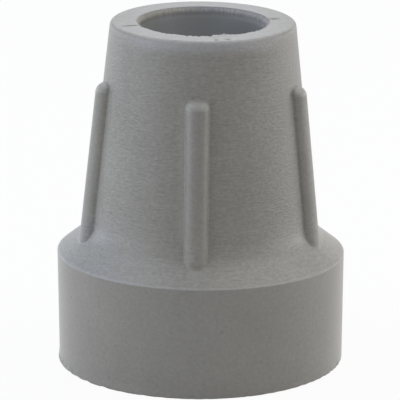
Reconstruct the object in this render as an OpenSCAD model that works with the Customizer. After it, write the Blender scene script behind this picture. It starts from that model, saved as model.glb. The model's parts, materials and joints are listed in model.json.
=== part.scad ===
// Rubber tip for a walking cane, moulded in one piece.
// A round foot meets the ground, and a sloped shoulder sweeps up from it into a tapered neck.
// Half-round ribs stiffen the neck, and the cane is pushed into the blind socket from above.
// Millimetres, +Z up. The origin is on the axis, where the tread meets the ground.

/* [Foot] */
// Diameter of the foot at the ground
foot_d = 43.4; // [40:0.2:56]
// How much wider the foot is at its shoulder edge than at the ground
foot_flare = 0.4; // [0:0.1:1.2]
// Height of the foot's wall, from the ground to the shoulder edge
foot_h = 17; // [12:0.5:24]
// Radius on the ground edge
ground_edge_r = 0.2; // [0.1:0.1:1]
// Radius on the shoulder edge
shoulder_edge_r = 0.4; // [0.1:0.1:1]

/* [Shoulder] */
// Slope of the shoulder above level, in degrees
shoulder_slope = 38; // [20:1:44]
// Radius of the hollow sweep from the shoulder into the neck
sweep_r = 5; // [2:0.5:6]

/* [Neck] */
// Height of the neck, from the shoulder edge to the rim
neck_h = 35.8; // [30:0.1:46]
// How far the neck's wall leans outwards on its way down, in degrees
neck_taper = 6.1; // [3:0.1:8]
// Thickness of the neck's wall at the rim
rim_wall = 4.5; // [3:0.1:5.6]
// Radius on the outer edge of the rim
rim_edge_r = 0.7; // [0.2:0.1:1.2]

/* [Socket] */
// Diameter of the socket, which is the size of the cane
socket_d = 19; // [15:0.5:22]
// Depth of the socket below the rim
socket_depth = 38; // [30:0.5:44]
// Bevel that leads the cane into the socket's mouth
mouth_bevel = 0.55; // [0.2:0.05:1]

/* [Ribs] */
// Number of ribs round the neck
rib_count = 5; // [3:1:8]
// Radius of a rib's half-round section
rib_r = 1.8; // [1.2:0.1:2.4]
// How far a rib stands out of the neck
rib_stand = 1.5; // [1:0.1:2]
// Bare neck between the rim and the top of a rib
rib_drop = 8.7; // [4:0.1:16]
// Slope of the ramp at the top of a rib, in degrees from square to the neck
rib_ramp = 45; // [30:1:60]
// Turn of the first rib from the front, in degrees, to the right
rib_turn = -3; // [-36:1:36]

/* [Tread] */
// Number of ring grooves in the sole
groove_count = 3; // [1:1:3]
// Diameter of the land inside the innermost groove
centre_land_d = 9; // [4:0.5:11]
// Width of a groove at the sole
groove_w = 2.4; // [1:0.1:3]
// Width of the land between two grooves
land_w = 2.6; // [1.6:0.1:3.4]
// Depth of a groove
groove_depth = 1.5; // [0.5:0.1:3]
// How far each wall of a groove leans, in degrees, so that the rubber leaves its mould
groove_draft = 12; // [4:1:16]

/* [Hidden] */
$fn = 96;
rubber_grey = "#8e8f8e";
// A round reaches this far past the lines that it joins, so that it crosses each of them once
round_lap = 0.002;
// A cut runs on this far below the sole
cut_lap = 1;
// A ramp meets the neck this far below the top of the dome that it cuts
ramp_bite = 0.15;
// Share of the shoulder's length that the sweep may take up
sweep_share = 0.9;

overall_h = foot_h + neck_h;
foot_r = foot_d / 2;
shoulder_r = foot_r + foot_flare / 2;
socket_r = socket_d / 2;
rim_r = socket_r + rim_wall;
socket_floor = overall_h - socket_depth;

// Unit vector that points along a direction in the half-section, in degrees from outwards to up
function heading(angle) = [cos(angle), sin(angle)];

// Directions of the lines of the half-section
inwards = 180;
wall_up = atan2(foot_h, foot_flare / 2);
shoulder_up = 180 - shoulder_slope;
neck_up = 90 + neck_taper;

// Radius of the bare neck at a height, also where the shoulder hides it
function neck_r(z) = rim_r + (overall_h - z) * tan(neck_taper);

// The line of the shoulder meets the line of the neck at this corner
shoulder_run = (shoulder_r - neck_r(foot_h)) / (1 - tan(shoulder_slope) * tan(neck_taper));
sweep_corner = [shoulder_r - shoulder_run, foot_h + shoulder_run * tan(shoulder_slope)];
sweep_half_angle = (neck_up + shoulder_slope) / 2;
sweep_fit_r = min(sweep_r, sweep_share * shoulder_run / cos(shoulder_slope) * tan(sweep_half_angle));

// A round in a corner of the half-section: [start, end, centre, radius]
function corner_round(corner, start_angle, end_angle, radius) =
    let (half = abs(end_angle - start_angle) / 2)
    let (run = radius / tan(half))
    [
        corner + run * heading(start_angle),
        corner + run * heading(end_angle),
        corner + radius / sin(half) * heading((start_angle + end_angle) / 2),
        radius
    ];

ground_round = corner_round([foot_r, 0], inwards, wall_up, ground_edge_r);
shoulder_round = corner_round([shoulder_r, foot_h], wall_up + 180, shoulder_up, shoulder_edge_r);
sweep_round = corner_round(sweep_corner, -shoulder_slope, neck_up, sweep_fit_r);
rim_round = corner_round([rim_r, overall_h], neck_up + 180, inwards, rim_edge_r);

module round_disc(corner) {
    translate(corner[2]) circle(r = corner[3] + round_lap);
}

// One ring groove of the sole in half-section, by the radius of its inner edge
module groove_section(inner_r) {
    lean = tan(groove_draft);
    polygon([
        [inner_r - cut_lap * lean, -cut_lap],
        [inner_r + groove_depth * lean, groove_depth],
        [inner_r + groove_w - groove_depth * lean, groove_depth],
        [inner_r + groove_w + cut_lap * lean, -cut_lap]
    ]);
}

// Half-section of the moulding without its ribs
module tip_section() {
    difference() {
        union() {
            polygon([
                [0, 0],
                ground_round[0],
                ground_round[1],
                shoulder_round[0],
                shoulder_round[1],
                sweep_round[0],
                sweep_round[1],
                rim_round[0],
                rim_round[1],
                [socket_r + mouth_bevel, overall_h],
                [socket_r, overall_h - mouth_bevel],
                [socket_r, socket_floor],
                [0, socket_floor]
            ]);
            for (corner = [ground_round, shoulder_round, rim_round]) round_disc(corner);
        }
        round_disc(sweep_round);
        for (ring = [0 : groove_count - 1])
            groove_section(centre_land_d / 2 + ring * (groove_w + land_w));
    }
}

// A round bar with a domed top, standing under the centre of its dome
module domed_bar(length) {
    rotate_extrude() {
        translate([0, -length]) square([rib_r, length]);
        intersection() {
            circle(r = rib_r);
            square(rib_r);
        }
    }
}

// What lies above a ramp that falls towards +X from the origin
module above_ramp() {
    reach = 4 * rib_r;
    rotate([0, rib_ramp, 0]) translate([-reach / 2, -reach / 2, 0]) cube(reach);
}

// One rib at the front of +X: a domed bar laid along the neck and partly sunk in it, with a ramp cut at its top
module rib() {
    sink = rib_r - rib_stand;
    rib_top = overall_h - rib_drop;
    neck_out = heading(neck_taper);
    dome_reach = sqrt(rib_r * rib_r - sink * sink) - ramp_bite;
    dome = [neck_r(rib_top), rib_top] - dome_reach * heading(neck_up) - sink * neck_out;
    translate([dome[0], 0, dome[1]])
        rotate([0, -neck_taper, 0])
            difference() {
                domed_bar((dome[1] - foot_h) / cos(neck_taper));
                translate([sink, 0, dome_reach]) above_ramp();
            }
}

// The whole moulding: the turned form and its ring of ribs
module cane_tip() {
    front = -90;
    color(rubber_grey) union() {
        rotate_extrude() tip_section();
        for (index = [0 : rib_count - 1])
            rotate([0, 0, front + rib_turn + index * 360 / rib_count]) rib();
    }
}

cane_tip();
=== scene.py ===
# %% [markdown]
# # A rubber cane tip
# This lesson dresses one moulded rubber tip for a walking cane. The imported model already has the right
# sizes, so it is loaded first and kept as the frame that everything else is measured from. Its box gives
# the height and width of the tip. The finished tip has to stay close to it.

# %% Load the imported tip
import json
import math

import bpy
import numpy as np
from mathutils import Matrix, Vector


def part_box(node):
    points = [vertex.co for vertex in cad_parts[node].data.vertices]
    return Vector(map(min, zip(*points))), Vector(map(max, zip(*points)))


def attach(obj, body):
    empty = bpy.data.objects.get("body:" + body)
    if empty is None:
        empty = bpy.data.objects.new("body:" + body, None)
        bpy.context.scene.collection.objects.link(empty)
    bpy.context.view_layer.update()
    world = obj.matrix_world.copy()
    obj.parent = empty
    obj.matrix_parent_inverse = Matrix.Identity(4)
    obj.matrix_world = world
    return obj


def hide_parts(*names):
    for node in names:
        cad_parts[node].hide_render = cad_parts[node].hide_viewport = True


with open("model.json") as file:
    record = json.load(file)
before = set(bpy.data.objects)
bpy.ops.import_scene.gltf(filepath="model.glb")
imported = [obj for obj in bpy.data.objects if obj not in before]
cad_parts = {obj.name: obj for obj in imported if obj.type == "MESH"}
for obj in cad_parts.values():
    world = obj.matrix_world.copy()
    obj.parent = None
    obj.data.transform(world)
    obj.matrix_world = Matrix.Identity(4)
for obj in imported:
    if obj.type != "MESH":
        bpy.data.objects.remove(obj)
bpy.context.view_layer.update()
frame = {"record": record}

# %% [markdown]
# ## Sizes
# The real tip is designed around the cane that it grips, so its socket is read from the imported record, and
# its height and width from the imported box. The other sizes are measured on the photograph, apart from the
# grooves under the sole, which it doesn't show. They could be typed in metres, but a maker thinks in
# millimetres, so the whole form is worked out in millimetres and scaled at the end.

# %% Driving sizes, in millimetres
MM = 0.001
socket = next(mount for mount in frame["record"]["mounts"] if mount["name"] == "cane_socket")
low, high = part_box("cane_tip")
SOCKET_R = socket["dims"]["r_mm"]
TIP_H = high.z / MM
SHOULDER_R = (high.x - low.x) / 2 / MM
MOUTH_BEVEL = TIP_H - socket["pos_m"][2] / MM
MOUTH_R = SOCKET_R + MOUTH_BEVEL
SOCKET_FLOOR = TIP_H - MOUTH_BEVEL - socket["dims"]["length_mm"]
FOOT_H = 17.0
FOOT_FLARE = 0.2
FOOT_R = SHOULDER_R - FOOT_FLARE
SHOULDER_SLOPE = math.radians(38)
NECK_TAPER = math.radians(6.1)
RIM_WALL = 4.5
RIM_R = SOCKET_R + RIM_WALL
print(f"tip {TIP_H:.1f} tall, {2 * SHOULDER_R:.1f} across, socket {2 * SOCKET_R:.1f}")

# %% [markdown]
# ## The half-section
# The tip was moulded in a turned cavity, so its body is a solid of revolution. A Screw modifier on a drawn
# outline could make it, but the ribs have to grow out of the same skin, so here the outline becomes rows of
# a grid. It is written as a list of corners, each with its own rounding and the spacing of the rows on the
# line that leads to it.

# %% Corners of the sole, from its middle outwards
GROOVES = 3
CENTRE_LAND_R = 4.5
GROOVE_W = 2.4
LAND_W = 2.6
GROOVE_DEPTH = 1.5
GROOVE_DRAFT = math.radians(12)
GROOVE_EDGE_R = 0.25
WIDE = 4.0
CLOSE = 0.4
FINE = 0.22


def sole_corners():
    lean = GROOVE_DEPTH * math.tan(GROOVE_DRAFT)
    corners = [(0, 0, 0, WIDE)]
    for ring in range(GROOVES):
        inner = CENTRE_LAND_R + ring * (GROOVE_W + LAND_W)
        outer = inner + GROOVE_W
        corners += [
            (inner, 0, GROOVE_EDGE_R, WIDE),
            (inner + lean, GROOVE_DEPTH, GROOVE_EDGE_R, WIDE),
            (outer - lean, GROOVE_DEPTH, GROOVE_EDGE_R, WIDE),
            (outer, 0, GROOVE_EDGE_R, WIDE),
        ]
    return corners


print(GROOVES, "ring grooves in the sole")

# %% Corners of the whole outline, from the sole over the rim to the socket floor
GROUND_EDGE_R = 0.2
FLASH_H = 1.6
SHOULDER_EDGE_R = 0.2
SWEEP_R = 5.0
RIM_EDGE_R = 0.7
MOUTH_EDGE_R = 0.15
BORE_EDGE_R = 0.8
RAGGED_REACH = 1.9
FLOOR_CORNER_R = 1.0


def neck_radius(z):
    return RIM_R + (TIP_H - z) * math.tan(NECK_TAPER)


shoulder_run = SHOULDER_R - neck_radius(FOOT_H)
shoulder_run /= 1 - math.tan(SHOULDER_SLOPE) * math.tan(NECK_TAPER)
sweep_corner = (SHOULDER_R - shoulder_run, FOOT_H + shoulder_run * math.tan(SHOULDER_SLOPE))
corners = sole_corners() + [
    (FOOT_R, 0, GROUND_EDGE_R, WIDE),
    (FOOT_R + FLASH_H / FOOT_H * FOOT_FLARE, FLASH_H, 0, FINE),
    (SHOULDER_R, FOOT_H, SHOULDER_EDGE_R, WIDE),
    (*sweep_corner, SWEEP_R, FINE),
    (RIM_R, TIP_H, RIM_EDGE_R, CLOSE),
    (MOUTH_R, TIP_H, MOUTH_EDGE_R, FINE),
    (SOCKET_R, TIP_H - MOUTH_BEVEL, BORE_EDGE_R, FINE),
    (SOCKET_R, TIP_H - RAGGED_REACH, 0, FINE),
    (SOCKET_R, SOCKET_FLOOR, FLOOR_CORNER_R, WIDE),
    (0, SOCKET_FLOOR, 0, WIDE),
]
print(len(corners), "corners in the half-section")

# %% [markdown]
# ### Filling in the lines and arcs
# Each corner is swapped for a short arc that touches both of its lines. A line gets a point close to each
# end, so that the smooth shading of the arc doesn't bleed across the flat beside it. The neck has its own
# spacing, because the tops of the ribs need rows close together there. A Bevel modifier rounds edges too,
# but here each corner has a radius of its own.

# %% Arc at a corner
ARC_STEP = math.radians(18)
LEAST_ARC_STEPS = 3
SWEEP_STEPS = 14


def arc_at(before, corner, after, radius):
    """Points of the arc that rounds a corner, in order along the outline."""
    corner = np.array(corner)
    back = np.array(before) - corner
    ahead = np.array(after) - corner
    back /= np.linalg.norm(back)
    ahead /= np.linalg.norm(ahead)
    half = math.acos(np.clip(back @ ahead, -1, 1)) / 2
    turn = math.pi - 2 * half
    start = corner + back * radius / math.tan(half)
    end = corner + ahead * radius / math.tan(half)
    centre = corner + (back + ahead) / np.linalg.norm(back + ahead) * radius / math.sin(half)
    steps = SWEEP_STEPS if radius == SWEEP_R else max(LEAST_ARC_STEPS, round(turn / ARC_STEP))
    share = np.linspace(0, 1, steps + 1)[:, None]
    swing = np.sin((1 - share) * turn) * (start - centre) + np.sin(share * turn) * (end - centre)
    return centre + swing / math.sin(turn)


print("arcs turn by about", round(math.degrees(ARC_STEP)), "degrees a step")

# %% Rows on the neck, packed closely at the rib tops and over the sweep
NECK_ROWS = 66
RIB_DROP = 8.4
RIB_TOP = TIP_H - RIB_DROP
RIB_TOP_CROWD = {"weight": 5, "middle": RIB_TOP - 1, "reach": 1.4}
SWEEP_CROWD = {"weight": 1.5, "middle": FOOT_H + 5, "reach": 4}
SPREAD_SAMPLES = 8001


def crowd(place, weight, middle, reach):
    """Extra density round a place, which fades out over its reach."""
    return weight * np.exp(-(((place - middle) / reach) ** 2))


def neck_density(z):
    return 1 + crowd(z, **RIB_TOP_CROWD) + crowd(z, **SWEEP_CROWD)


def spread(low, high, count, density):
    """Places from low to high, packed closely where the density is high."""
    place = np.linspace(low, high, SPREAD_SAMPLES)
    weight = density(place)
    total = np.concatenate([[0], np.cumsum((weight[1:] + weight[:-1]) / 2)])
    return np.interp(np.linspace(0, total[-1], count), total, place)


print("ribs end", round(RIB_TOP, 1), "above the ground")

# %% Rows of the grid
SUPPORT = 0.12
LONG_LINE = 10


def line_rows(start, end, step):
    """Points between the two ends of a straight line."""
    length = float(np.linalg.norm(end - start))
    if length < 3 * SUPPORT:
        return np.zeros((0, 2))
    near = SUPPORT / length
    shares = np.linspace(0, 1, max(2, round(length / step)) + 1)[1:-1]
    if start[1] > FOOT_H and end[1] > start[1] + LONG_LINE:
        heights = spread(start[1], end[1], NECK_ROWS, neck_density)[1:-1]
        shares = (heights - start[1]) / (end[1] - start[1])
    shares = np.concatenate([[near], shares[(shares > 2 * near) & (shares < 1 - 2 * near)], [1 - near]])
    return start + shares[:, None] * (end - start)


def outline_rows(corners):
    arcs = []
    for index, (r, z, radius, _) in enumerate(corners):
        if radius == 0:
            arcs.append(np.array([[r, z]], float))
            continue
        arcs.append(arc_at(corners[index - 1][:2], (r, z), corners[index + 1][:2], radius))
    rows = [arcs[0]]
    for before, after, corner in zip(arcs, arcs[1:], corners[1:]):
        rows += [line_rows(before[-1], after[0], corner[3]), after]
    return np.concatenate(rows)


rows = outline_rows(corners)
print(len(rows), "rows from the sole to the socket floor")

# %% [markdown]
# ## Columns round the axis
# Five ribs stand round the neck. Even columns would be simple, but they would waste points on plain skin.
# So the columns of the grid are packed closely where the side of a rib rises and where the rim has a mark,
# and spread out between. Angles are turns from the front, to the right.

# %% Turns of the ribs and of the marks on the rim
RIBS = 5
RIB_TURN = math.radians(-2.75)
RIB_R = 1.8
SEAM_TURNS = [math.radians(-71), math.radians(100)]
NICK_TURNS = [math.radians(8.8), math.radians(16.6)]
CRUMB_TURN = math.radians(17.9)
FLAP_TURNS = [math.radians(7.7), math.radians(25)]
sector = 2 * math.pi / RIBS
rib_half_turn = RIB_R / neck_radius((FOOT_H + RIB_TOP) / 2)


def from_rib(turn):
    """Turn from the middle of the nearest rib."""
    return (turn - RIB_TURN + sector / 2) % sector - sector / 2


def turn_between(turn, middle):
    return (turn - middle + math.pi) % (2 * math.pi) - math.pi


print("a rib takes up", round(math.degrees(2 * rib_half_turn), 1), "degrees")

# %% Columns of the grid, as turns from the front
COLUMNS = 340
ROOT_CROWD = {"weight": 7, "middle": 0, "reach": 0.28}
MARK_CROWD = {"weight": 5, "middle": 0, "reach": math.radians(2)}
RIB_CROWD = 2


def column_density(turn):
    from_root = (np.abs(from_rib(turn)) - rib_half_turn) / rib_half_turn
    density = 1 + crowd(from_root, **ROOT_CROWD) + RIB_CROWD * (from_root < 0)
    for mark in [*SEAM_TURNS, *NICK_TURNS, CRUMB_TURN, FLAP_TURNS[0]]:
        density += crowd(turn_between(turn, mark), **MARK_CROWD)
    return density


turns = spread(-math.pi, math.pi, COLUMNS + 1, column_density)[:-1]
print(len(turns), "columns,", len(turns) * len(rows), "grid points")

# %% [markdown]
# ## Ribs that grow out of the skin
# Each rib is a round bar, very slightly squared, laid along the taper. A dome ends it at the top, where a
# ramp with a soft edge is cut down to the neck, and below it runs out into the sweep. Joining separate bars
# with a Boolean would make a ragged seam in the mesh. So each grid point is pushed out along the neck's
# normal until it meets the union of the two shapes. The union is a distance field: one function says how
# far a point is from the turned body, one how far it is from the nearest rib.

# %% Distance to the turned body
neck_up = np.array([-math.sin(NECK_TAPER), math.cos(NECK_TAPER)])
neck_out = np.array([math.cos(NECK_TAPER), math.sin(NECK_TAPER)])
shoulder_out = np.array([math.sin(SHOULDER_SLOPE), math.cos(SHOULDER_SLOPE)])
sweep_half = (math.pi / 2 + NECK_TAPER + SHOULDER_SLOPE) / 2
sweep_bisector = (math.pi / 2 + NECK_TAPER - SHOULDER_SLOPE) / 2
sweep_reach = SWEEP_R / math.sin(sweep_half)
to_centre = np.array([math.cos(sweep_bisector), math.sin(sweep_bisector)])
sweep_centre = np.array(sweep_corner) + sweep_reach * to_centre


def body_distance(r, z):
    """How far a point above the shoulder is from the turned body."""
    point = np.stack([r, z], -1)
    flat = np.minimum((point - sweep_corner) @ neck_out, (point - sweep_corner) @ shoulder_out)
    off = point - sweep_centre
    along = off @ (np.array(sweep_corner) - sweep_centre) / sweep_reach
    distance = np.linalg.norm(off, axis=-1)
    in_sweep = along > distance * math.sin(sweep_half)
    return np.where(in_sweep, SWEEP_R - distance, flat)


print("the lines of neck and shoulder meet", round(float(sweep_corner[1]), 1), "above the ground")

# %% Distance to the ribs
RIB_STAND = 1.5
RIB_TWIST = math.radians(0.25)
SQUARENESS = 2.15
RAMP_SLOPE = math.radians(32)
RAMP_EDGE_R = 0.8
RAMP_BITE = 0.15
sink = RIB_R - RIB_STAND
dome_reach = (RIB_R**SQUARENESS - sink**SQUARENESS) ** (1 / SQUARENESS) - RAMP_BITE
bar_top = np.array([neck_radius(RIB_TOP), RIB_TOP]) - sink * neck_out


def rounded_cut(first, second, radius):
    """Distance to what two shapes share, with the edge between them rounded."""
    past = np.hypot(np.maximum(first + radius, 0), np.maximum(second + radius, 0))
    return np.minimum(-radius, np.maximum(first, second)) + past


def rib_distance(r, z, turn):
    """How far a point is from the nearest rib: a bar with a domed top, cut by a ramp."""
    off_rib = from_rib(turn - RIB_TWIST * (RIB_TOP - z) / (RIB_TOP - FOOT_H))
    radial = r * np.cos(off_rib) - bar_top[0]
    side = r * np.sin(off_rib)
    up = z - bar_top[1]
    along = radial * neck_up[0] + up * neck_up[1]
    out = radial * neck_out[0] + up * neck_out[1]
    past_end = np.maximum(along + dome_reach, 0)
    powers = [np.abs(reach) ** SQUARENESS for reach in (side, out, past_end)]
    bar = sum(powers) ** (1 / SQUARENESS) - RIB_R
    ramp = along * math.cos(RAMP_SLOPE) + (out - sink) * math.sin(RAMP_SLOPE)
    return rounded_cut(bar, ramp, RAMP_EDGE_R)


print("ribs stand", RIB_STAND, "out of the neck")

# %% [markdown]
# ### Marching the skin inwards
# The rubber has a tiny fillet where a rib meets the neck, so the union is rounded too. From outside the
# rib, each point steps back along the normal by its distance to the union, until it rests on the skin.
# Only the rows between the shoulder edge and the rim need this. The crossing could also be solved exactly,
# but then each new rounding would need its own formula.

# %% Push the grid out over the ribs
ROOT_R = 0.04
MARCH_STEPS = 120
MARCH_START = RIB_STAND + 1
EDGE_MARGIN = 0.5

grid_r = np.repeat(rows[:, :1], len(turns), axis=1)
grid_z = np.repeat(rows[:, 1:], len(turns), axis=1)
grid_turn = np.repeat(turns[None, :], len(rows), axis=0)
outside = (rows[:, 0] > neck_radius(TIP_H) - RIM_EDGE_R) & (rows[:, 1] > FOOT_H + EDGE_MARGIN)
outside &= rows[:, 1] < TIP_H - 2 * RIM_EDGE_R


def rounded_union(first, second, radius):
    """Distance to two shapes joined by a fillet."""
    fillet = np.hypot(np.maximum(radius - first, 0), np.maximum(radius - second, 0))
    return np.maximum(radius, np.minimum(first, second)) - fillet


def push_over_ribs(r, z, turn):
    lift = np.full(r.shape, MARCH_START)
    for _ in range(MARCH_STEPS):
        at_r = r + lift * neck_out[0]
        at_z = z + lift * neck_out[1]
        gap = rounded_union(body_distance(at_r, at_z), rib_distance(at_r, at_z, turn), ROOT_R)
        lift = np.maximum(lift - gap, 0)
    return r + lift * neck_out[0], z + lift * neck_out[1]


grid_r[outside], grid_z[outside] = push_over_ribs(grid_r[outside], grid_z[outside], grid_turn[outside])
print("ribs stand out to", round(float(grid_r[outside].max()), 2))

# %% [markdown]
# ## Small faults of this tip
# A moulded part shows how it was made. Where the halves of the mould met, the rim has a slit on either
# side. A thin flap with a crumb on it was left at the front of the mouth when it was trimmed, and the edge
# of the mouth is ragged. A thin flash of rubber stands round the ground edge, torn into small teeth.
# Sculpting could make them, but small sums on the same grid can be run again, and all stays one skin.

# %% Helpers for the marks
SEAMS = [
    {"turn": SEAM_TURNS[0], "inner": 10.0, "outer": 13.0, "half_width": 0.32, "depth": 0.36},
    {"turn": SEAM_TURNS[1], "inner": 9.7, "outer": 11.9, "half_width": 0.42, "depth": 0.24},
]
NICKS = [
    {"turn": NICK_TURNS[0], "inner": 12.3, "outer": 13.2, "half_width": 0.36, "depth": 0.26},
    {"turn": NICK_TURNS[1], "inner": 12.2, "outer": 13.1, "half_width": 0.52, "depth": 0.26},
]
CRUMB = {"turn": CRUMB_TURN, "inner": 9.7, "outer": 10.6, "half_width": 0.2, "depth": -0.24}


def smooth(low, high, value):
    """0 at low and 1 at high, with a smooth rise between."""
    share = np.clip((value - low) / (high - low), 0, 1)
    return share * share * (3 - 2 * share)


def wander(turn, coarsest, finest, seed):
    """A closed wavy line round the axis, about 1 high, the same for each run."""
    phases = np.random.default_rng(seed).uniform(0, 2 * math.pi, finest)
    waves = [np.sin(wave * turn + phases[wave]) for wave in range(coarsest, finest)]
    return sum(waves) / math.sqrt(len(waves))


def dent(mark, r, turn):
    """Depth of a lens-shaped dent that runs outwards across the rim."""
    middle = (mark["inner"] + mark["outer"]) / 2
    lens = np.maximum(1 - ((r - middle) / (mark["outer"] - middle)) ** 2, 0)
    across = r * turn_between(turn, mark["turn"]) / mark["half_width"]
    return mark["depth"] * np.maximum(lens - across**2, 0)


print(len(SEAMS), "seams,", len(NICKS), "nicks and a crumb on the rim")

# %% Mark the rim
RIM_FADE = (TIP_H - 1, TIP_H - 0.2)
FLAP_RISE = 0.16
FLAP_FADE = (MOUTH_R + 2, MOUTH_R + 0.3)
FLAP_START_FADE = 0.01
FLAP_END_FADE = 0.06

on_rim = smooth(*RIM_FADE, grid_z)
for mark in [*SEAMS, *NICKS, CRUMB]:
    grid_z -= on_rim * dent(mark, grid_r, grid_turn)
flap_start, flap_end = FLAP_TURNS
flap = smooth(flap_start - FLAP_START_FADE, flap_start + FLAP_START_FADE, grid_turn)
flap *= smooth(flap_end + FLAP_END_FADE, flap_end - FLAP_END_FADE, grid_turn)
grid_z += on_rim * flap * FLAP_RISE * smooth(*FLAP_FADE, grid_r)
print("flap runs over", round(math.degrees(flap_end - flap_start), 1), "degrees")

# %% Ragged edge of the mouth
RAGGED = 0.1
RAGGED_W = 0.5
FRONT_SHARE = 0.46

at_mouth = smooth(MOUTH_R + RAGGED_W, MOUTH_R, grid_r)
at_mouth *= smooth(TIP_H - RAGGED_REACH, TIP_H - MOUTH_BEVEL, grid_z)
towards_front = 1 - FRONT_SHARE + FRONT_SHARE * np.cos(grid_turn)
ragged = at_mouth * towards_front * RAGGED * wander(grid_turn, coarsest=5, finest=90, seed=3)
grid_r += ragged
grid_z -= on_rim * np.maximum(ragged, 0)
print("mouth is", round(2 * MOUTH_R, 1), "across")

# %% Flash at the ground edge
FLASH = 0.17
FLASH_W = 0.8
FLASH_LIP = 0.1
FLASH_MIDDLE = math.radians(-70)
FLASH_SWING = 0.6
TOOTH_SHARE = 0.3
TORN = 0.24

at_ground = smooth(FLASH_H, FLASH_LIP, grid_z) * smooth(FOOT_R - FLASH_W, FOOT_R - GROUND_EDGE_R, grid_r)
on_left = 1 - FLASH_SWING + FLASH_SWING * np.cos(grid_turn - FLASH_MIDDLE)
teeth = wander(grid_turn, coarsest=40, finest=110, seed=8)
at_sides = np.abs(np.sin(grid_turn))
flash = at_ground * FLASH * np.maximum(on_left + TOOTH_SHARE * teeth, 0)
grid_r += flash
grid_z += at_ground * TORN * at_sides * np.clip(teeth, 0, 1)
print("flash stands", round(float(flash.max()), 2), "out of the ground edge")

# %% [markdown]
# ### The lean
# The soft body leans a little to the right above the foot, as one does that was pulled warm from its
# mould, and it has settled by a hair. A Simple Deform modifier could bend it, but a sum on the grid gives
# the angle exactly. Each point above the foot turns about a level line at the shoulder edge, and the turn
# fades out inside the foot.

# %% Lean the body above the foot
LEAN = math.radians(0.6)
LEAN_FADE = (FOOT_H - 4, FOOT_H + 1)
SETTLE = 0.07

grid_x = grid_r * np.sin(grid_turn)
grid_y = -grid_r * np.cos(grid_turn)
angle = LEAN * smooth(*LEAN_FADE, grid_z)
above = grid_z - FOOT_H
above -= SETTLE * np.maximum(above, 0) / (TIP_H - FOOT_H)
lean_x = grid_x * np.cos(angle) + above * np.sin(angle)
lean_z = FOOT_H + above * np.cos(angle) - grid_x * np.sin(angle)
points = np.stack([lean_x, grid_y, lean_z], -1) * MM
print("rim moved", round(float((lean_x - grid_x).max()), 2), "to the right")

# %% [markdown]
# ## The skin as a mesh
# The rubber is one closed skin, from the middle of the sole to the middle of the socket floor. Blender has
# a grid primitive, but it can't close into a ring, so the faces are listed here. Each end is closed by a
# fan round one point. A map that unrolls the skin goes with it, turns across and outline upwards, so that
# the finish can be baked later.

# %% Build the mesh
UNROLLED = "OFBake"


def skin_corners(row_count, column_count):
    """The corners of each face as a row and a column, where the last column is the first one again."""
    last = row_count - 1
    for column in range(column_count):
        beside = column + 1
        yield [(0, column), (1, beside), (1, column)]
        for row in range(1, last - 1):
            yield [(row, column), (row, beside), (row + 1, beside), (row + 1, column)]
        yield [(last - 1, column), (last - 1, beside), (last, column)]


def point_number(row, column):
    inner = min(row, 1) + max(row - 1, 0) * len(turns)
    return inner + (column % len(turns) if 0 < row < len(rows) - 1 else 0)


faces = list(skin_corners(len(rows), len(turns)))
skin_points = np.concatenate([points[0, :1], points[1:-1].reshape(-1, 3), points[-1, :1]])
mesh = bpy.data.meshes.new("tip_skin")
mesh.from_pydata(skin_points.tolist(), [], [[point_number(*corner) for corner in face] for face in faces])
steps = np.linalg.norm(np.diff(rows, axis=0), axis=1)
heights = np.concatenate([[0], np.cumsum(steps)]) / steps.sum()
unrolled = mesh.uv_layers.new(name=UNROLLED)
spots = [(column / len(turns), heights[row]) for face in faces for row, column in face]
unrolled.data.foreach_set("uv", np.array(spots).ravel())
mesh.shade_smooth()
mesh.validate()
print(len(mesh.vertices), "points,", sum(len(face) - 2 for face in faces), "triangles")

# %% Take the place of the plain solid
tip = bpy.data.objects.new("tip_skin", mesh)
bpy.context.scene.collection.objects.link(tip)
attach(tip, "root")
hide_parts("cane_tip")
print("tip_skin stands for cane_tip")

# %% [markdown]
# ## Shader sums in plain Python
# Materials are built from nodes, and adding them one by one hides the idea. This small class wraps a
# socket, so that a sum on two wires adds the Math node that works it out, and one method adds any other
# kind of node.


# %% A wire of a shader
class Wire:
    def __init__(self, tree, node=None, output=0):
        self.tree = tree
        self.node = node
        self.socket = node.outputs[output] if node and node.outputs else None

    def make(self, kind, settings=None, inputs=None, output=0):
        """Add a node: its settings first, then the values or wires of its sockets."""
        node = self.tree.nodes.new(kind)
        for name, value in (settings or {}).items():
            setattr(node, name, value)
        for name, value in (inputs or {}).items():
            if isinstance(value, Wire):
                self.tree.links.new(value.socket, node.inputs[name])
            else:
                node.inputs[name].default_value = value
        return Wire(self.tree, node, output)

    def other(self, output):
        return Wire(self.tree, self.node, output)

    def sum(self, operation, first, second):
        return self.make("ShaderNodeMath", {"operation": operation}, {0: first, 1: second})

    def __add__(self, value):
        return self.sum("ADD", self, value)

    def __radd__(self, value):
        return self.sum("ADD", value, self)

    def __sub__(self, value):
        return self.sum("SUBTRACT", self, value)

    def __rsub__(self, value):
        return self.sum("SUBTRACT", value, self)

    def __mul__(self, value):
        return self.sum("MULTIPLY", self, value)

    def __mod__(self, value):
        return self.sum("FLOORED_MODULO", self, value)

    def __abs__(self):
        return self.sum("ABSOLUTE", self, 0)

    def ramp(self, low, high):
        """0 below low and 1 above high, with a smooth rise between."""
        settings = {"interpolation_type": "SMOOTHSTEP"}
        return self.make("ShaderNodeMapRange", settings, {0: self, 1: low, 2: high})

    def blend(self, first, second, kind="MIX"):
        """A colour that goes from first to second, or to their product, as this wire goes from 0 to 1."""
        settings = {"data_type": "RGBA", "blend_type": kind}
        return self.make("ShaderNodeMix", settings, {0: self, 6: first, 7: second}, 2)


def new_material(name):
    material = bpy.data.materials.new(name)
    material.use_nodes = True
    material.node_tree.nodes.clear()
    return material, Wire(material.node_tree)


print("shader wires ready")
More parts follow.
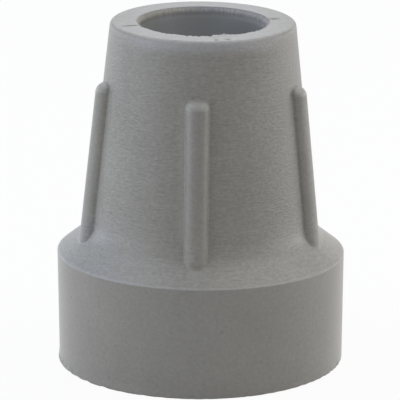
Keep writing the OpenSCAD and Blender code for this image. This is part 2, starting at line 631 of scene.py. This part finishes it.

# %% [markdown]
# ## The rubber
# Grey rubber is matt, and this one carries the marks of its mould: short turning strokes on the neck and
# shoulder, and a plainer, finely speckled foot. The band below the rim and the shoulder edge are partly worn
# pale and partly a painted highlight. The rib ends carry a painted highlight. The side ribs, the right of
# the shoulder, the socket and the creases beside the ribs carry painted light, the sides of the upper neck
# and the right of the neck painted shade, and the left of the shoulder a painted blue reflection. All this
# could be painted on an image, but places that are measured stay sharp at any size. They are measured in the
# shader as
# a turner would: how high, and how far from the axis of the leaning body.

# %% Where a point of the rubber is, in millimetres
material, start = new_material("grey_rubber")
place = start.make("ShaderNodeTexCoord", output="Object")
in_mm = start.make("ShaderNodeVectorMath", {"operation": "SCALE"}, {"Vector": place, "Scale": 1 / MM})
axes = start.make("ShaderNodeSeparateXYZ", {}, {0: in_mm}, "X")
x, y, z = axes, axes.other("Y"), axes.other("Z")
level = z + x * math.tan(LEAN)
above_foot = start.sum("MAXIMUM", level - FOOT_H, 0)
leaned_x = x - above_foot * math.tan(LEAN)
off_axis = start.make("ShaderNodeCombineXYZ", {}, {"X": leaned_x, "Y": y})
radius = start.make("ShaderNodeVectorMath", {"operation": "LENGTH"}, {0: off_axis}, "Value")
rim_top = TIP_H - SETTLE
stand = radius - (rim_top - level) * math.tan(NECK_TAPER) - RIM_R
around = start.sum("ARCTAN2", leaned_x, y * -1)
twist = (RIB_TOP - level) * (RIB_TWIST / (RIB_TOP - FOOT_H))
beside_rib = abs(from_rib(around - twist)) * radius - RIB_R
print("rim is", round(rim_top, 2), "above the ground")


# %% Fades from 0 to 1 that the finish depends on, each with its start and its end
def fades(wire, ends):
    return {name: wire.ramp(*pair) for name, pair in ends.items()}


heights_up = {
    "socket": (SOCKET_FLOOR - 0.5, SOCKET_FLOOR - 0.1),
    "edge": (FOOT_H - 0.15, FOOT_H - 0.02),
    "body": (FOOT_H - 0.2, FOOT_H + 0.2),
    "past_edge": (FOOT_H + 0.1, FOOT_H + 0.3),
    "crease": (FOOT_H + 4, FOOT_H + 8),
    "rib": (FOOT_H + 5, FOOT_H + 7),
    "neck": (FOOT_H + 5, FOOT_H + 9),
    "grip": (FOOT_H + 15, TIP_H - 8),
    "past_crease": (RIB_TOP - 2, RIB_TOP),
    "rib_end": (RIB_TOP - 1.8, RIB_TOP - 1.4),
    "rim": (rim_top - 2.6, rim_top - 0.5),
    "mouth": (rim_top - 1.9, rim_top - 0.7),
    "bevel": (rim_top - 1.6, rim_top - 0.6),
    "top": (rim_top - 0.6, rim_top - 0.15),
}
places_right = {
    "past_cast": (-16, -7),
    "past_shade": (-9.5, -4),
    "wiped": (-2, -1),
    "past_wiped": (4, 6),
    "blue": (3, 8.5),
    "neck": (8, 12.5),
    "shoulder": (8, 16),
}
up = fades(level, heights_up)
right = fades(x, places_right)
sideways = fades(abs(x), {"rib": (4, 10), "rim": (7, 13.5), "grip": (8.5, 12.5)})
outwards = fades(radius, {"bore": (SOCKET_R + 0.1, MOUTH_R), "bevel": (MOUTH_R - 0.1, MOUTH_R + 0.15)})
proud = fades(stand, {"at_all": (0.06, 0.16), "well": (0.25, 0.6)})
print(len(up) + len(right) + len(sideways) + len(outwards) + len(proud), "fades")

# %% Places on the rubber, put together from the fades
CREASE_REACH = 1.6
SIDE_FADE = 0.9
TOP_FADE = 0.55
inside = (1 - outwards["bore"]) * up["socket"]
on_bevel = (1 - outwards["bevel"]) * up["bevel"]
on_shoulder = up["body"] * (1 - up["neck"])
shoulder_edge = up["edge"] * (1 - up["past_edge"])
near_rim = up["rim"] * (1 - sideways["rim"] * SIDE_FADE) * (1 - up["top"] * TOP_FADE)
# Painted shade: the sides of the upper neck are made darker.
upper_neck_painted_shade = up["grip"] * (1 - up["top"]) * sideways["grip"]
# Painted shade: the right side of the neck is made darker.
right_neck_painted_shade = up["neck"] * right["neck"] * (1 - up["rim"]) * (1 - proud["well"])
on_rib = proud["well"] * up["rib"]
rib_end = on_rib * up["rib_end"]
# Painted light: the creases beside the ribs are made paler to take away the shade of the ribs there, except
# at the front.
in_crease = (1 - beside_rib.ramp(0, CREASE_REACH)) * (1 - proud["at_all"])
in_crease = in_crease * up["crease"] * (1 - up["past_crease"])
wiped = right["wiped"] * (1 - right["past_wiped"])
crease_painted_light = in_crease * (1 - wiped)
print("places ready")

# %% [markdown]
# ### Strokes, speckle and specks
# The turned mould left broken strokes in the rubber. A wave texture draws whole rings, so a noise is
# squeezed along the axis instead, which draws it out into strokes round the tip. Longer strokes, a round
# speckle and a slow cloud are noises too, and one that is stretched along the axis scratches the mouth. A
# few dark specks are cells of a Voronoi pattern, kept only close to their middles.

# %% Patterns in the rubber
STROKE_SQUEEZE = 2.4
LONG_SQUEEZE = 9
SCRATCH_STRETCH = (3, 3, 0.4)
CELLS_PER_MM = 0.16
SPECK_FADE = (0.02, 0.05)
RIB_PLAINNESS = 0.7
NOISE_MIDDLE = 0.5


def squeezed(amount):
    return start.make("ShaderNodeCombineXYZ", {}, {"X": x, "Y": y, "Z": z * amount})


def noise(vector, scale, detail):
    """A noise that varies round 0."""
    inputs = {"Vector": vector, "Scale": scale, "Detail": detail}
    return start.make("ShaderNodeTexNoise", {}, inputs) - NOISE_MIDDLE


strokes = noise(squeezed(STROKE_SQUEEZE), scale=1.5, detail=2)
long_strokes = noise(squeezed(LONG_SQUEEZE), scale=0.55, detail=3)
speckle = noise(in_mm, scale=2.0, detail=2)
cloud = noise(in_mm, scale=0.12, detail=2)
stretched = start.make("ShaderNodeVectorMath", {"operation": "MULTIPLY"}, {0: in_mm, 1: SCRATCH_STRETCH})
scratches = noise(stretched, scale=1, detail=2)
cells = start.make("ShaderNodeTexVoronoi", {}, {"Vector": in_mm, "Scale": CELLS_PER_MM}, "Distance")
specks = (1 - cells.ramp(*SPECK_FADE)) * (1 - up["body"])
turned = up["body"] * (1 - on_rib * RIB_PLAINNESS) * (1 - inside)
print("patterns ready")

# %% [markdown]
# ### Colour
# Each pattern and each place makes the rubber a little paler or darker. A stack of Mix nodes could do that,
# but it would need a colour for each. Here they all add to one tone, which picks a grey between two ends.
# Then come the few places with a colour of their own: a painted highlight on the rib ends, worn edges with a
# painted highlight, a painted blue reflection on the left of the shoulder, painted light in the socket, and
# the trimmed mouth.

# %% Tone of the rubber, with what each pattern or place adds to it
RUBBER_DARK = (0.232, 0.223, 0.205, 1)
RUBBER_PALE = (0.338, 0.325, 0.298, 1)
MIDDLE_TONE = 0.5
parts_of_tone = [
    (turned * strokes, 1.35),
    (turned * long_strokes, 0.9),
    (speckle, 0.85),
    (cloud, 0.5),
    (specks, -0.5),
    (up["neck"], -0.1),
    (right_neck_painted_shade, -0.2),
    (on_rib, -0.1),
    # Painted light: the side ribs are made paler.
    (on_rib * sideways["rib"], 0.3),
    (on_shoulder, 0.06),
    # Painted light: the right of the shoulder is made paler.
    (on_shoulder * right["shoulder"], 0.2),
    (upper_neck_painted_shade, -0.28),
    (crease_painted_light, 0.6),
]
tone = MIDDLE_TONE
for part, weight in parts_of_tone:
    tone = tone + part * weight
colour = tone.blend(RUBBER_DARK, RUBBER_PALE)
print(len(parts_of_tone), "parts in the tone")

# %% A painted highlight on the rib ends, worn edges with a painted highlight, and a painted blue reflection on the left of the shoulder
RIB_END_HIGHLIGHT = (0.415, 0.41, 0.375, 1)
RIB_END_HIGHLIGHT_SHARE = 0.5
WORN_AND_HIGHLIT = (0.402, 0.395, 0.406, 1)
RIM_SHARE = 0.85
EDGE_SHARE = 0.35
SHOULDER_PAINTED_BLUE = (1, 1.03, 1.11, 1)
# Painted highlight: the upward ramp at the end of each rib is made pale.
colour = (rib_end * RIB_END_HIGHLIGHT_SHARE).blend(colour, RIB_END_HIGHLIGHT)
# The band below the rim and the line on the shoulder edge are partly worn pale and partly a painted
# highlight of their rounded edges.
worn_and_highlit = near_rim * RIM_SHARE + shoulder_edge * EDGE_SHARE
colour = (worn_and_highlit + speckle * worn_and_highlit).blend(colour, WORN_AND_HIGHLIT)
# Painted blue reflection: the left of the shoulder is tinted blue, as by the cool light.
painted_blue = on_shoulder * (1 - right["past_cast"])
colour = painted_blue.blend(colour, SHOULDER_PAINTED_BLUE, "MULTIPLY")
print("edges rubbed")

# %% Painted light in the socket, and the trimmed mouth
SOCKET_LEFT_PAINTED_LIGHT = (0.36, 0.355, 0.335, 1)
SOCKET_PAINTED_LIGHT = (0.515, 0.525, 0.535, 1)
SOCKET_RIGHT_PAINTED_LIGHT = (0.39, 0.4, 0.425, 1)
MOUTH_PAINTED_LIGHT = (0.72, 0.725, 0.74, 1)
TRIMMED_LEFT = (0.2, 0.187, 0.155, 1)
TRIMMED_RIGHT = (0.18, 0.178, 0.192, 1)
TRIM_FADE = (-4, 1)
TRIM_WANDER = 8
TRIM_SHARE = 0.8
TRIM_STREAKS = 0.7
# Painted light: the socket is made paler than the rubber, most just under the mouth, less on its left, and
# less and cooler on its right.
painted_socket_light = right["blue"].blend(SOCKET_PAINTED_LIGHT, SOCKET_RIGHT_PAINTED_LIGHT)
painted_socket_light = up["mouth"].blend(painted_socket_light, MOUTH_PAINTED_LIGHT)
colour = inside.blend(colour, right["past_shade"].blend(SOCKET_LEFT_PAINTED_LIGHT, painted_socket_light))
trimmed = (x + scratches * TRIM_WANDER).ramp(*TRIM_FADE).blend(TRIMMED_LEFT, TRIMMED_RIGHT)
colour = (on_bevel * (TRIM_SHARE + scratches * TRIM_STREAKS)).blend(colour, trimmed)
print("socket bloomed and mouth trimmed")

# %% [markdown]
# ### Gloss and relief
# Moulded rubber is a little smoother on the plain foot than on the turned neck, where the strokes can be
# felt. Displacement could move the skin for them, but they are far too fine for its mesh, so a Bump node
# only tilts the light on them.

# %% Roughness and relief
FOOT_ROUGHNESS = 0.31
BODY_ROUGHER = 0.1
SPECKLE_ROUGHER = 0.15
RELIEF = 0.05
SPECKLE_RELIEF = 0.5
TRIM_RELIEF = 0.6
roughness = FOOT_ROUGHNESS + up["body"] * BODY_ROUGHER + speckle * SPECKLE_ROUGHER
height = turned * (strokes + long_strokes) + speckle * SPECKLE_RELIEF + on_bevel * scratches * TRIM_RELIEF
relief = start.make("ShaderNodeBump", {}, {"Strength": 1, "Distance": RELIEF * MM, "Height": height})
finish = {"Base Color": colour, "Roughness": roughness, "Normal": relief}
surface = start.make("ShaderNodeBsdfPrincipled", {}, finish)
start.make("ShaderNodeOutputMaterial", {}, {"Surface": surface})
mesh.materials.append(material)
print(len(material.node_tree.nodes), "nodes in the rubber")

# %% [markdown]
# ## The studio
# The tip stands on a plain white floor in a ring of soft boxes: low strips at its sides, high boxes above
# them, and one behind. Only a weak strip stands towards the front, so the front is darker than the sides,
# as in the photograph. A bright white world would be simpler, but it would light the front as well. So the
# white round the tip is only what the camera and the gloss see, and it lights little else.

# %% White floor
FLOOR_SIZE = 3.0
FLOOR_SHADOW = 0.06
PAPER = (0.85, 0.85, 0.85, 1)
WHITE = (1, 1, 1, 1)
floor_mesh = bpy.data.meshes.new("floor")
half = FLOOR_SIZE / 2
floor_corners = [(-half, -half, 0), (half, -half, 0), (half, half, 0), (-half, half, 0)]
floor_mesh.from_pydata(floor_corners, [], [(0, 1, 2, 3)])
floor = bpy.data.objects.new("floor", floor_mesh)
bpy.context.scene.collection.objects.link(floor)


def seen_directly(start):
    """1 for rays that show the surround itself: from the camera, or by a mirror or glass."""
    path = start.make("ShaderNodeLightPath", output="Is Camera Ray")
    seen = path + path.other("Is Glossy Ray") + path.other("Is Transmission Ray")
    return start.sum("MINIMUM", seen, 1)


floor_material, start = new_material("white_floor")
paper = start.make("ShaderNodeBsdfDiffuse", {}, {"Color": PAPER})
white = start.make("ShaderNodeEmission", {}, {"Color": WHITE, "Strength": 1})
share = seen_directly(start) * (1 - FLOOR_SHADOW)
mixed = start.make("ShaderNodeMixShader", {}, {0: share, 1: paper, 2: white})
start.make("ShaderNodeOutputMaterial", {}, {"Surface": mixed})
floor_mesh.materials.append(floor_material)
print("floor is white, and keeps the shadow of the tip")

# %% White surround
ROOM_LIGHT = 0.132
ROOM_TINT = (1, 0.985, 0.95, 1)
world = bpy.data.worlds.new("white_room")
bpy.context.scene.world = world
world.use_nodes = True
world.node_tree.nodes.clear()
start = Wire(world.node_tree)
seen = seen_directly(start)
strength = seen * (1 - ROOM_LIGHT) + ROOM_LIGHT
tint = seen.blend(ROOM_TINT, WHITE)
room = start.make("ShaderNodeBackground", {}, {"Color": tint, "Strength": strength})
start.make("ShaderNodeOutputWorld", {}, {"Surface": room})
print("room lights the tip with", ROOM_LIGHT, "of its white")

# %% Soft boxes: name, turn and height in degrees, size in metres, brightness and colour
CENTRE = np.array([0, 0, TIP_H / 2 * MM])
AWAY = 0.4
SQUARE = (0.35, 0.35)
STRIP = (0.35, 0.11)
COOL = (0.86, 0.915, 1)
BLUE = (0.8, 0.88, 1)
PLAIN = (1, 1, 0.985)
SOFT_BOXES = [
    ("back_box", 180, 45, SQUARE, 1.12, COOL),
    ("left_high_box", -90, 58, SQUARE, 1.75, BLUE),
    ("left_front_box", -40, 5, STRIP, 0.45, COOL),
    ("left_side_box", -70, 5, STRIP, 2.5, COOL),
    ("left_rear_box", -105, 5, STRIP, 1.45, COOL),
    ("left_back_box", -130, 5, STRIP, 1.4, COOL),
    ("right_high_box", 90, 58, SQUARE, 1.68, PLAIN),
    ("right_side_box", 85, 5, STRIP, 1.4, PLAIN),
    ("right_rear_box", 105, 5, STRIP, 1.9, PLAIN),
    ("right_back_box", 130, 5, STRIP, 0.9, PLAIN),
]


def soft_box(name, turn, height, size, brightness, colour):
    """A soft light that faces the tip, as bright as a card of that brightness."""
    light = bpy.data.lights.new(name, "AREA")
    light.shape = "RECTANGLE"
    light.size, light.size_y = size
    light.energy = brightness * size[0] * size[1] * math.pi
    light.color = colour
    box = bpy.data.objects.new(name, light)
    around, above = math.radians(turn), math.radians(height)
    level_reach = math.cos(above)
    away = np.array([math.sin(around) * level_reach, -math.cos(around) * level_reach, math.sin(above)])
    box.location = CENTRE + away * AWAY
    box.rotation_mode = "XYZ"
    box.rotation_euler = (math.pi / 2 - above, 0, around)
    box.visible_camera = False
    bpy.context.scene.collection.objects.link(box)


for row in SOFT_BOXES:
    soft_box(*row)
print(len(SOFT_BOXES), "soft boxes")

# %% [markdown]
# ## The camera
# The photograph was taken from a little above with a long lens. A Track To constraint would point the
# camera at the tip, but its tilt was worked out together with its place, from the outline of the foot, the
# rim and the socket, so both are typed in. The picture is square.

# %% Camera
CAMERA_BACK = 553.3
CAMERA_UP = 178.8
CAMERA_LEFT = 0.1
CAMERA_PITCH = math.radians(15.559)
SENSOR = 36
LENS = 338.97
camera_data = bpy.data.cameras.new("camera")
camera_data.sensor_width = SENSOR
camera_data.lens = LENS
camera = bpy.data.objects.new("camera", camera_data)
camera.location = (-CAMERA_LEFT * MM, -CAMERA_BACK * MM, CAMERA_UP * MM)
camera.rotation_euler = (math.pi / 2 - CAMERA_PITCH, 0, 0)
bpy.context.scene.collection.objects.link(camera)
bpy.context.scene.camera = camera
bpy.context.scene.view_settings.view_transform = "Standard"
print("camera at", tuple(round(value, 3) for value in camera.location))
